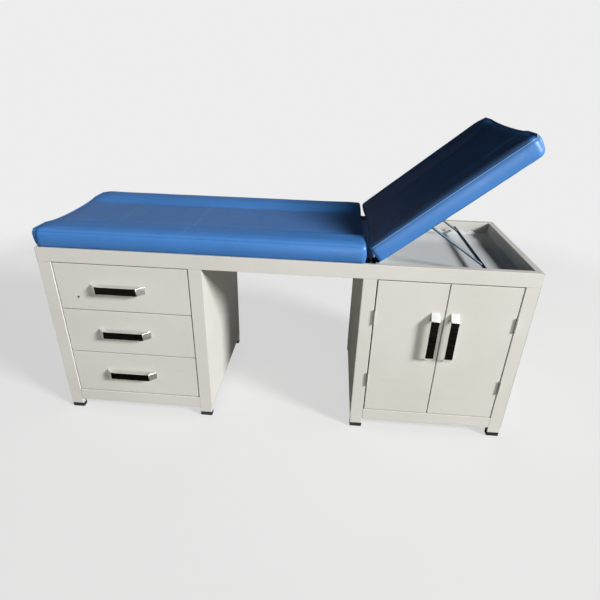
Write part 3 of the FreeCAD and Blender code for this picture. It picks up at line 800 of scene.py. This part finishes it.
def backrest_lining():
    """The lining as a piece, and its flat area."""
    half = (lining_high - lining_low) / 2
    centre = (lining_high + lining_low) / 2
    bm = bmesh.new()
    bmesh.ops.create_grid(bm, x_segments=56, y_segments=54, size=1.0)
    bmesh.ops.scale(bm, verts=bm.verts, vec=(half.x, half.y, 1))
    bmesh.ops.translate(bm, verts=bm.verts, vec=(centre.x, centre.y, base_height))
    cut = [face for face in bm.faces if over_leaf(face.calc_center_median())]
    bmesh.ops.delete(bm, geom=cut, context="FACES")
    for vert in bm.verts:
        x, y = round_corner(vert.co.x - centre.x, vert.co.y - centre.y, half.x, half.y, lining_corner)
        shake = lining_shake * abs(noise.noise(vert.co * 25)) if vert.is_boundary else 0.0
        vert.co.x = centre.x + x * (1 - shake / half.x)
        vert.co.y = centre.y + y * (1 - shake / half.y)
    area = sum(face.calc_area() for face in bm.faces)
    bmesh.ops.recalc_face_normals(bm, faces=bm.faces)
    bmesh.ops.solidify(bm, geom=bm.faces[:], thickness=lining_thickness)
    drop = min(vert.co.z for vert in bm.verts) - (base_height - lining_thickness)
    bmesh.ops.translate(bm, verts=bm.verts, vec=(0, 0, -drop))
    bmesh.ops.recalc_face_normals(bm, faces=bm.faces)
    bmesh.ops.transform(bm, matrix=turn_up, verts=bm.verts)
    return make_piece("backrest_lining", bm, lining_cloth, "backrest", "blue_vinyl"), area


lining, lining_area = backrest_lining()
print(lining.name, "faces:", len(lining.data.polygons), "area:", round(lining_area, 3))

# %% [markdown]
# Staples hold the lining. Each is a short flat wire, so one small cube, scaled and with its ends bevelled
# round, is repeated along the edge. All of them make one piece, because they never move apart.

# %% Staples in the lining
staple_size = Vector((0.0105, 0.0012, 0.00012))
staple_step = 0.046
staple_line = 0.016
staple_round = 0.0005
leaf_margin = 0.03
head_margin = 0.05


def staple_places():
    """Middle and direction of every staple, as (x, y, along X or not)."""
    start, stop = leaf_high.x + leaf_margin, backrest_high.x - head_margin
    count = int((stop - start) / staple_step)
    for index in range(count + 1):
        x = start + (stop - start) * index / count
        yield x, backrest_low.y + staple_line, True
        yield x, backrest_high.y - staple_line, True
    start, stop = leaf_notches[0][1] + leaf_margin, leaf_notches[1][0] - leaf_margin
    count = int((stop - start) / staple_step)
    for index in range(count + 1):
        y = start + (stop - start) * index / count
        yield backrest_low.x + staple_line, y, False
        yield backrest_high.x - staple_line, y, False


def lining_staples():
    """All staples of the lining as one piece."""
    bm = bmesh.new()
    for x, y, lengthwise in staple_places():
        corners = bmesh.ops.create_cube(bm, size=1.0)["verts"]
        bmesh.ops.scale(bm, verts=corners, vec=staple_size)
        edges = {edge for vert in corners for edge in vert.link_edges}
        ends = {edge for edge in edges if abs(edge.verts[0].co.z - edge.verts[1].co.z) > 1e-6}
        rounded = bmesh.ops.bevel(
            bm, geom=list(ends), offset=staple_round, segments=2, profile=0.5, affect="EDGES", material=-1
        )
        own = list(set(rounded["verts"]) | {vert for vert in corners if vert.is_valid})
        lean = 0.12 * noise.noise(Vector((x * 40, y * 40, 0.5)))
        way = Matrix.Rotation(lean + (0 if lengthwise else math.pi / 2), 3, "Z")
        bmesh.ops.rotate(bm, verts=own, cent=(0, 0, 0), matrix=way)
        height = base_height - lining_thickness - staple_size.z / 2
        bmesh.ops.translate(bm, verts=own, vec=(x, y, height))
    bmesh.ops.transform(bm, matrix=turn_up, verts=bm.verts)
    return make_piece("backrest_staples", bm, zinc_plate, "backrest", "zinc_steel")


staples = lining_staples()
print(staples.name, "faces:", len(staples.data.polygons))

# %% [markdown]
# Screws hold the prop's brackets and the hinge leaves to the board. A pan head is a short profile spun
# about its axis, and its slot is cut by two planes and pushed down by an extrusion. One function makes both
# kinds: high heads on the brackets, and nearly flush ones on the leaves, which close down on the rail.

# %% Screws under the backrest
def screw_head(bm, spot, radius, rise, slot_turn):
    """A slotted head that points down from spot in the flat frame."""
    profile = [(0.0, rise), (0.45 * radius, 0.97 * rise), (0.8 * radius, 0.72 * rise), (radius, 0.0)]
    ring = [bm.verts.new((x, 0, z)) for x, z in profile]
    edges = [bm.edges.new(pair) for pair in zip(ring, ring[1:])]
    bmesh.ops.spin(
        bm, geom=ring + edges, cent=(0, 0, 0), axis=(0, 0, 1), angle=2 * math.pi, steps=24, use_merge=True
    )
    bmesh.ops.remove_doubles(bm, verts=bm.verts, dist=1e-6)
    half_slot = 0.16 * radius
    for side in (-half_slot, half_slot):
        everything = bm.verts[:] + bm.edges[:] + bm.faces[:]
        bmesh.ops.bisect_plane(bm, geom=everything, plane_co=(0, side, 0), plane_no=(0, 1, 0))
    strip = [face for face in bm.faces if abs(face.calc_center_median().y) < half_slot]
    pushed = bmesh.ops.extrude_face_region(bm, geom=strip)["geom"]
    bmesh.ops.delete(bm, geom=strip, context="FACES_ONLY")
    floor_verts = [item for item in pushed if isinstance(item, bmesh.types.BMVert)]
    bmesh.ops.translate(bm, verts=floor_verts, vec=(0, 0, -0.6 * rise))
    bmesh.ops.recalc_face_normals(bm, faces=bm.faces)
    over = Matrix.Translation(spot) @ Matrix.Rotation(math.pi, 4, "X") @ Matrix.Rotation(slot_turn, 4, "Z")
    bmesh.ops.transform(bm, matrix=turn_up @ over, verts=bm.verts)


def screw_set(name, spots, radius, rise):
    """Heads at all spots as one piece."""
    whole = bmesh.new()
    for number, spot in enumerate(spots):
        bm = bmesh.new()
        screw_head(bm, spot, radius, rise, 0.9 * number)
        one = bpy.data.meshes.new("head")
        bm.to_mesh(one)
        bm.free()
        whole.from_mesh(one)
        bpy.data.meshes.remove(one)
    return make_piece(name, whole, zinc_plate, "backrest", "zinc_steel")


bracket_low, bracket_high = flat_box("prop_brackets")
plate_thickness = 0.0025
plate_half_width = 0.009
screw_spread = 0.015
bracket_x = (bracket_low.x + bracket_high.x) / 2
bracket_spots = [
    Vector((bracket_x + shift, y, base_height - plate_thickness))
    for y in (bracket_low.y + plate_half_width, bracket_high.y - plate_half_width)
    for shift in (-screw_spread, screw_spread)
]
leaf_x = hinge.x + (leaf_high.x - hinge.x) / 2
leaf_spots = [
    Vector((leaf_x, start + leaf_length * share, base_height))
    for start, stop in leaf_notches
    for share in (0.2, 0.5, 0.8)
]
bracket_screws = screw_set("bracket_screws", bracket_spots, radius=0.0040, rise=0.0018)
leaf_screws = screw_set("moving_leaf_screws", leaf_spots, radius=0.0034, rise=0.00025)
print(bracket_screws.name, len(bracket_spots), leaf_screws.name, len(leaf_spots))

# %% [markdown]
# The top drawer's front has one small hole beside its handle. The hole is in the CAD front; a dark ring round
# it widens the hole's dark mouth, as painted shade. The ring is a short profile spun about the hole's axis,
# which is simpler than bevelling a drilled edge.

# %% Ring round the drawer's hole
ring_profile = [
    (0.0020, 0.0002),
    (0.0022, -0.0007),
    (0.0032, -0.0010),
    (0.0042, -0.0007),
    (0.0044, 0.0002),
]
hole_from_corner = Vector((0.076, 0, 0.054))
hole_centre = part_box("top_drawer_front")[0] + hole_from_corner


def hole_shade_ring():
    """A dark ring, painted shade round the hole, that stands a millimetre proud of the drawer front."""
    bm = bmesh.new()
    line = [bm.verts.new(hole_centre + Vector((away, depth, 0))) for away, depth in ring_profile]
    edges = [bm.edges.new(pair) for pair in zip(line, line[1:])]
    bmesh.ops.spin(
        bm, geom=line + edges, cent=hole_centre, axis=(0, 1, 0), angle=2 * math.pi, steps=24, use_merge=True
    )
    bmesh.ops.remove_doubles(bm, verts=bm.verts, dist=1e-6)
    bmesh.ops.recalc_face_normals(bm, faces=bm.faces)
    return make_piece("drawer_hole_shade_ring", bm, shoe_rubber, "top_drawer", "dark_plastic")


ring = hole_shade_ring()
print(ring.name, "faces:", len(ring.data.polygons))

# %% [markdown]
# The photograph was taken from the drawer side, a little above the mattress. Its corners of known size give
# the camera's place, its three directions and its focal length, so the camera is set by those and not by
# eye.

# %% Camera
camera_place = Vector((0.16683, -1.79157, 1.34543))
camera_right = Vector((0.99671, 0.07693, 0.02534))
camera_up = Vector((-0.05729, 0.44842, 0.89198))
camera_back = Vector((0.05726, -0.89051, 0.45135))
camera_data = bpy.data.cameras.new("photograph_camera")
camera_data.sensor_width = 36.0
camera_data.lens = 27.27
camera = bpy.data.objects.new("photograph_camera", camera_data)
turned = Matrix((camera_right, camera_up, camera_back)).transposed()
camera.matrix_world = Matrix.Translation(camera_place) @ turned.to_4x4()
scene.collection.objects.link(camera)
scene.camera = camera
print("camera at", [round(v, 3) for v in camera_place])

# %% [markdown]
# The light in the photograph is one broad soft source from the right and the front, low enough that the
# raised backrest turns its top away from it. A weaker one in front lifts the drawers and doors, and a
# third, behind the table, keeps the far side readable. A lamp for each is aimed at the middle of the table.
# Area lamps give soft shadows, which a sun or a point lamp would not.

# %% Lamps
aim = Vector((0.1, 0.0, 0.75))


def lamp(name, azimuth, elevation, distance, width, height, power, colour):
    """An oval lamp on a sphere round the table; azimuth 0 is the drawer side and 90 the head end."""
    turn, climb = math.radians(azimuth), math.radians(elevation)
    level = math.cos(climb)
    way = Vector((math.sin(turn) * level, -math.cos(turn) * level, math.sin(climb)))
    light = bpy.data.lights.new(name, "AREA")
    light.shape = "ELLIPSE"
    light.size = width
    light.size_y = height
    light.energy = power
    light.color = colour
    source = bpy.data.objects.new(name, light)
    source.location = aim + way * distance
    source.rotation_euler = way.to_track_quat("Z", "Y").to_euler()
    scene.collection.objects.link(source)
    return source


warm, cool = (1.0, 0.99, 0.975), (0.95, 0.97, 1.0)
key_lamp = lamp("key_lamp", 62, 26, 18.0, 4.2, 4.2, 4800.0, warm)
fill_lamp = lamp("fill_lamp", 14, 0, 9.0, 4.0, 1.4, 205.0, warm)
back_lamp = lamp("back_lamp", 180, 0, 5.0, 3.0, 1.0, 60.0, cool)
back_lamp.visible_glossy = False
print("lamps:", key_lamp.name, fill_lamp.name, back_lamp.name)

# %% [markdown]
# The room is a pale studio. The world shows an even light grey to the camera and to polished metal, but
# lights the object only softly. A large white backdrop would do the same, but it would also throw light on
# the table.

# %% Studio
background = (0.847, 0.847, 0.847)
ambient = (0.80, 0.97, 1.20)
ambient_strength = 0.016


def seen_directly(tree):
    """1 for rays that show the background: from the camera, off polish and through glass."""
    path = add_node(tree, "LightPath", {})
    shown = sums(tree, "MAXIMUM", path.outputs["Is Camera Ray"], path.outputs["Is Glossy Ray"])
    return sums(tree, "MAXIMUM", shown, path.outputs["Is Transmission Ray"])


world = bpy.data.worlds.new("studio")
world.use_nodes = True
scene.world = world
sky = world.node_tree
sky.nodes.clear()
soft = add_node(sky, "Background", {"Color": (*ambient, 1), "Strength": ambient_strength})
plain = add_node(sky, "Background", {"Color": (*background, 1), "Strength": 1.0})
shown_sky = add_node(sky, "MixShader", {0: seen_directly(sky), 1: soft.outputs[0], 2: plain.outputs[0]})
add_node(sky, "OutputWorld", {"Surface": shown_sky.outputs[0]})
print("world:", world.name)

# %% [markdown]
# The room behind the table was dark where the photograph was taken: the backrest's glossy top shows no
# light there. A studio does this with flags, dark cloths on frames that stand outside the picture. Here
# each is one upright plane that the camera doesn't see.

# %% Flags
def flag(name, width, height, turn, place_at, foot_grey, head_grey):
    """An upright cloth that lamps shine through and the camera doesn't see."""
    bm = bmesh.new()
    bmesh.ops.create_grid(bm, x_segments=1, y_segments=1, size=0.5)
    bmesh.ops.scale(bm, verts=bm.verts, vec=(width, height, 1.0))
    upright = Matrix.Rotation(turn, 3, "Z") @ Matrix.Rotation(math.pi / 2, 3, "X")
    bmesh.ops.rotate(bm, verts=bm.verts, cent=(0, 0, 0), matrix=upright)
    bmesh.ops.translate(bm, verts=bm.verts, vec=(*place_at, height / 2))
    cloth = bpy.data.meshes.new(name)
    bm.to_mesh(cloth)
    bm.free()
    finish, tree, shader = new_finish(name + "_cloth", specular=0.0)
    along = add_node(tree, "SeparateXYZ", {"Vector": place(tree)}).outputs["X"]
    grey = tint(tree, remap(tree, along, -0.5, 0.2), [foot_grey] * 3, [head_grey] * 3)
    feed(tree, shader, grey, remap(tree, speckle(tree, 60.0), 0.3, 0.7, 0.8, 0.9))
    cloth.materials.append(finish)
    stand = bpy.data.objects.new(name, cloth)
    stand.visible_camera = False
    stand.visible_shadow = False
    scene.collection.objects.link(stand)
    return stand


back_flag = flag("back_flag", 9.0, 4.5, 0.0, (0.0, 1.35), 0.20, 0.010)
foot_flag = flag("foot_flag", 5.0, 3.0, math.pi / 2, (-2.6, -1.2), 0.03, 0.03)
print("flags:", back_flag.name, foot_flag.name)

# %% [markdown]
# The floor is a wide disc. Near the table it is a matt surface that takes the shadow, and it fades outwards
# into the background grey, so that no horizon shows. The camera sees it pale, but what it throws back up at
# the table is the weaker light of a darker floor, which keeps the shaded sides of the table dark.

# %% Floor
floor_radius = 9.0
bounce_colour = (0.15, 0.13, 0.11)
fade_start = 1.2
fade_end = 3.2
floor_mesh = bmesh.new()
bmesh.ops.create_circle(floor_mesh, cap_ends=True, segments=96, radius=floor_radius)
floor_data = bpy.data.meshes.new("floor")
floor_mesh.to_mesh(floor_data)
floor_mesh.free()
floor = bpy.data.objects.new("floor", floor_data)
scene.collection.objects.link(floor)

floor_finish, floor_tree, floor_shader = new_finish("floor_finish", specular=0.1)
floor_tone = remap(floor_tree, speckle(floor_tree, 3.0, detail=4.0), 0.3, 0.7)
from_camera = add_node(floor_tree, "LightPath", {}).outputs["Is Camera Ray"]
floor_pale = tint(floor_tree, floor_tone, (0.80, 0.80, 0.80), (0.77, 0.77, 0.77))
floor_colour = tint(floor_tree, from_camera, bounce_colour, floor_pale)
feed(floor_tree, floor_shader, floor_colour, remap(floor_tree, floor_tone, 0.0, 1.0, 0.7, 0.8))
reach = add_node(floor_tree, "VectorMath", {0: place(floor_tree)}, operation="LENGTH").outputs["Value"]
fade = remap(floor_tree, reach, fade_start, fade_end, 0.0, 1.0)
lift = remap(floor_tree, from_camera, 0.0, 1.0, 0.0, 0.72)
shown = sums(floor_tree, "MULTIPLY", sums(floor_tree, "MAXIMUM", fade, lift), seen_directly(floor_tree))
glow = add_node(floor_tree, "Emission", {"Color": (*background, 1), "Strength": 1.0})
faded = add_node(floor_tree, "MixShader", {0: shown, 1: floor_shader.outputs[0], 2: glow.outputs[0]})
floor_tree.links.new(faded.outputs[0], floor_tree.nodes["Material Output"].inputs["Surface"])
floor_data.materials.append(floor_finish)
print("floor radius:", floor_radius)

# %% [markdown]
# Standard view keeps a written colour as it is on screen.

# %% Finish
scene.view_settings.view_transform = "Standard"
